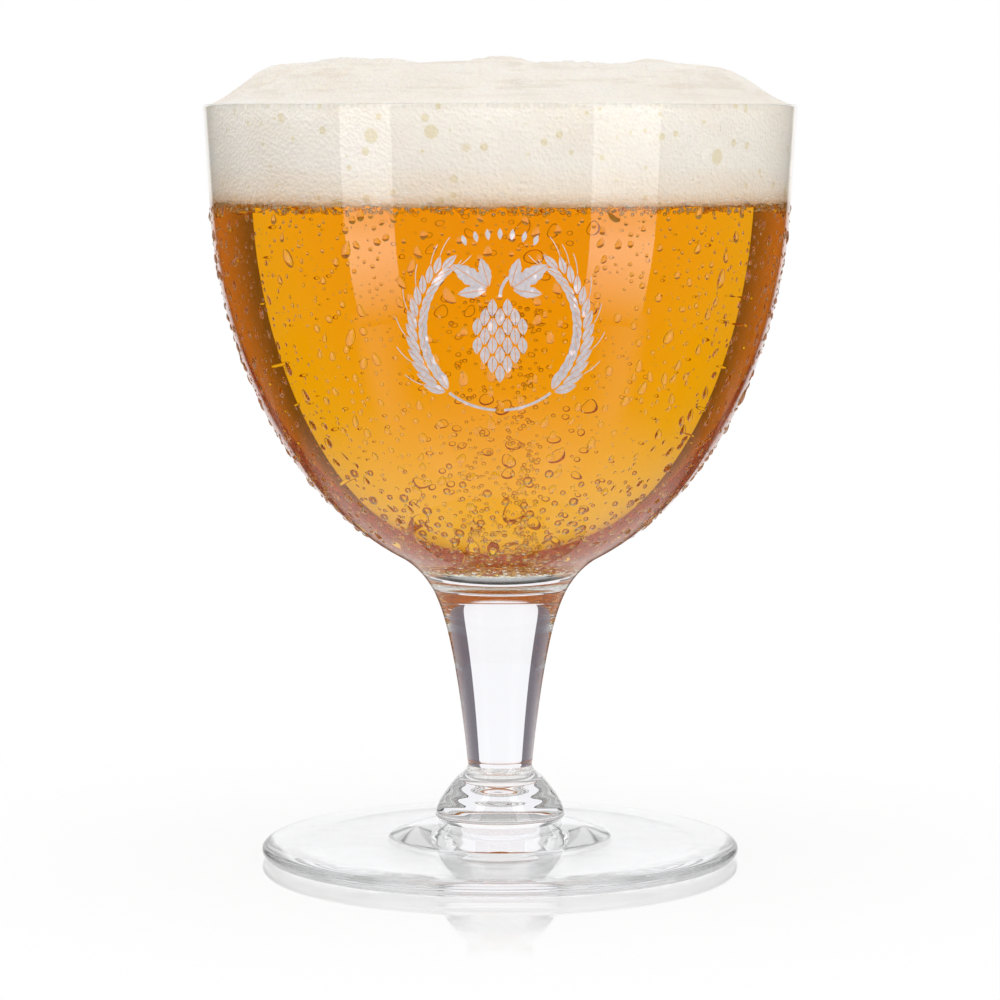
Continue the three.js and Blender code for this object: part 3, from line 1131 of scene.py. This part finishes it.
def make_world():
    world = bpy.data.worlds.new("studio")
    bpy.context.scene.world = world
    world.use_nodes = True
    graph = Graph(world.node_tree)
    path = graph.add("LightPath").outputs
    bent = path["Is Transmission Ray"]
    direction = graph.add("TexCoord", "Generated")
    split = graph.add("SeparateXYZ", Vector=direction).outputs
    z = split["Z"]
    aside = half_turn_share(graph, split)

    def by_angle(field):
        return graph.ramp(aside, [(angle / 180, colour) for angle, colour in field])

    # Seen through the glass.
    table = graph.spread(z, *TABLE_SEEN, 1.0, 0.0)
    in_beer = graph.math("GREATER_THAN", path["Transmission Depth"], SURFACES_BEFORE_BEER)
    sides = graph.choose(in_beer, by_angle(BEHIND_BEER), by_angle(BEHIND_STEM))
    through = graph.choose(table, 1.0, sides)
    # Mirrored by the glass. The floor's shine is slightly rough, and sees a white studio all round.
    below = graph.spread(z, *TABLE_MIRRORED, 1.0, 0.0)
    mirrored_low = by_degrees(graph, aside, *CARD_EDGE_LOW, 1.0, DARK_SIDE)
    mirrored_level = by_degrees(graph, aside, *CARD_EDGE, 1.0, DARK_SIDE)
    by_glass = graph.choose(below, mirrored_low, mirrored_level)
    mirrored = graph.choose(path["Is Singular Ray"], by_glass, 1.0)
    # Turned round inside the glass.
    low = graph.spread(z, *TURNED_LOW, 0.95, 0.0)
    high = graph.spread(z, *TURNED_HIGH, 0.02, 0.7)
    beside_card = by_degrees(graph, aside, *CARD_EDGE_TURNED, 0.0, 1.0)
    turned = graph.choose(low, 1.0, graph.choose(beside_card, high, 1.0))
    # Falling on foam, print and floor.
    toward = graph.math("DOT_PRODUCT", direction, SOFT_FROM, kind="VectorMath")
    soft = graph.spread(toward, -1.0, 1.0, *SOFT)
    made_up = graph.math("ADD", 1.0, graph.times(bent, BEHIND_GLASS))
    falling = graph.times(soft, made_up)

    scattered = at_least_one(graph, path["Diffuse Depth"])
    bounced = at_least_one(graph, path["Glossy Depth"])
    in_glass = graph.choose(bounced, graph.choose(bent, turned, mirrored), through)
    colour = graph.choose(path["Is Camera Ray"], 1.0, graph.choose(scattered, falling, in_glass))
    graph.set(graph.nodes["Background"], Color=colour)


FLOOR_RADIUS = 0.24
FLOOR_DROP = 0.2 * MM
FLOOR_SEGMENTS = 96
# Sectors of the floor: the angles from straight behind where they start, are full, and end.
PAINTED_DARK_SECTOR, SHEEN_SECTOR = (26, 32, 138, 146), (118, 126, 130, 142)
# Distances from the axis between which each of the floor's looks comes in or goes out.
PAINTED_DARK_AWAY, SHEEN_AWAY, TURNED_AWAY = (0.046, 0.052), (0.06, 0.09), (0.012, 0.016)
MIRRORED_AWAY, MIRRORED_END = (0.055, 0.12), (0.11, 0.17)
SHINE_AWAY, SHADOW_AWAY = (0.04, 0.086), (0.05, 0.14)
SHEEN_LEVEL, SHINE_LEVEL, SHADOW_LEVEL = 0.6, 0.5, 0.16


def make_floor():
    verts, rings = revolve([(FLOOR_RADIUS, -FLOOR_DROP)], FLOOR_SEGMENTS)
    material, graph, shader = new_material("floor")
    floor = add_object("floor", verts, rings, [material])
    graph.set(shader, Base_Color=(0.92, 0.92, 0.93, 1.0), Roughness=0.9, Specular_IOR_Level=0.0)
    gloss = graph.add("BsdfGlossy", "BSDF", Roughness=0.03, Color=(1.0, 1.0, 1.0, 1.0))
    path = graph.add("LightPath").outputs
    position = graph.add("TexCoord", "Object")
    split = graph.add("SeparateXYZ", Vector=position).outputs
    aside = half_turn_share(graph, split)
    distance = graph.math("LENGTH", position, kind="VectorMath")

    def sector(low, low_full, high_full, high):
        """1 between the two inner angles from straight behind, and 0 outside the two outer ones."""
        return graph.times(by_degrees(graph, aside, low, low_full, 0.0, 1.0),
                           by_degrees(graph, aside, high_full, high, 1.0, 0.0))

    def by_distance(near, far, at_near=0.0, at_far=1.0):
        return graph.spread(distance, near, far, at_near, at_far)

    # Seen through the glass, the table has painted shade to both sides of it.
    beside = graph.spread(sector(*PAINTED_DARK_SECTOR), 0.0, 1.0, 1.0, 0.08)
    through = graph.blend(by_distance(*PAINTED_DARK_AWAY), beside, 0.86)
    # The glass mirrors the part of the table next to it and behind it, with painted shade towards the sides
    # and farther away.
    farther = by_degrees(graph, aside, 40, 90, 0.9, 0.04)
    mirrored = graph.blend(by_distance(*MIRRORED_AWAY), farther, 1.0)
    mirrored = graph.times(mirrored, by_distance(*MIRRORED_END, 1.0, 0.1))
    # A painted pool of light on the table in front of the soft boxes, which the glass mirrors.
    sheen = graph.times(sector(*SHEEN_SECTOR), by_distance(*SHEEN_AWAY))
    mirrored = graph.blend(sheen, SHEEN_LEVEL, mirrored)
    # To light that the glass has turned round inside itself, the table behind it has painted shade.
    behind = graph.spread(split["Y"], -0.002, 0.002)
    turned = graph.blend(graph.times(behind, by_distance(*TURNED_AWAY)), 0.01, 1.0)
    bounced = at_least_one(graph, path["Glossy Depth"])
    in_glass = graph.blend(bounced, graph.blend(path["Is Transmission Ray"], turned, mirrored), through)
    strength = graph.blend(path["Is Camera Ray"], 1.0, in_glass)
    white = graph.add("Emission", "Emission", Strength=strength)
    # The floor shines near the glass, and takes its shadow.
    shining = graph.layer(by_distance(*SHINE_AWAY, SHINE_LEVEL, 0.0), white, gloss)
    shaded = graph.layer(by_distance(*SHADOW_AWAY, SHADOW_LEVEL, 0.0), shining, shader.outputs["BSDF"])
    graph.set(graph.nodes["Material Output"], Surface=shaded)


# Area lamps: name, place, size, power. They point at LAMPS_AT.
LAMPS = (("key", (-0.9, -0.3, 0.7), 0.5, 0.9), ("fill", (0.8, -0.7, 0.6), 0.6, 0.3))
LAMPS_AT = Vector((0, 0, 0.08))


def make_lamps():
    for name, location, size, power in LAMPS:
        data = bpy.data.lights.new(name, "AREA")
        data.energy = power
        data.size = size
        lamp = new_object(name, data)
        lamp.location = location
        lamp.rotation_euler = (LAMPS_AT - Vector(location)).to_track_quat("-Z", "Y").to_euler()
        lamp.visible_glossy = lamp.visible_transmission = lamp.visible_camera = False


LIGHT_BOUNCES = 40


def main():
    scene = bpy.context.scene
    scene.view_settings.view_transform = "Standard"
    for kind in ("max", "glossy", "transmission", "transparent_max"):
        setattr(scene.cycles, kind + "_bounces", LIGHT_BOUNCES)
    make_camera()
    glass = glass_material()
    joint = fused_joint_material()
    # At the inner face of the wall, light goes from glass to beer.
    wet = clear_material("wet_wall", GLASS_INDEX / BEER_INDEX)[0]
    make_foot(glass, joint)
    make_knop(glass, joint)
    make_stem(glass, joint)
    make_bowl(glass, joint, wet)
    make_beer(beer_material())
    make_foam(foam_material())
    gas = clear_material("gas_bubble", 1.0 / BEER_INDEX)[0]
    make_wall_bubbles(gas)
    make_rising_bubbles(gas)
    make_froth_line(gas)
    make_condensation(clear_material("water_drop", WATER_INDEX)[0])
    make_print(enamel_material())
    make_world()
    make_floor()
    make_soft_boxes()
    make_card()
    make_lamps()


main()
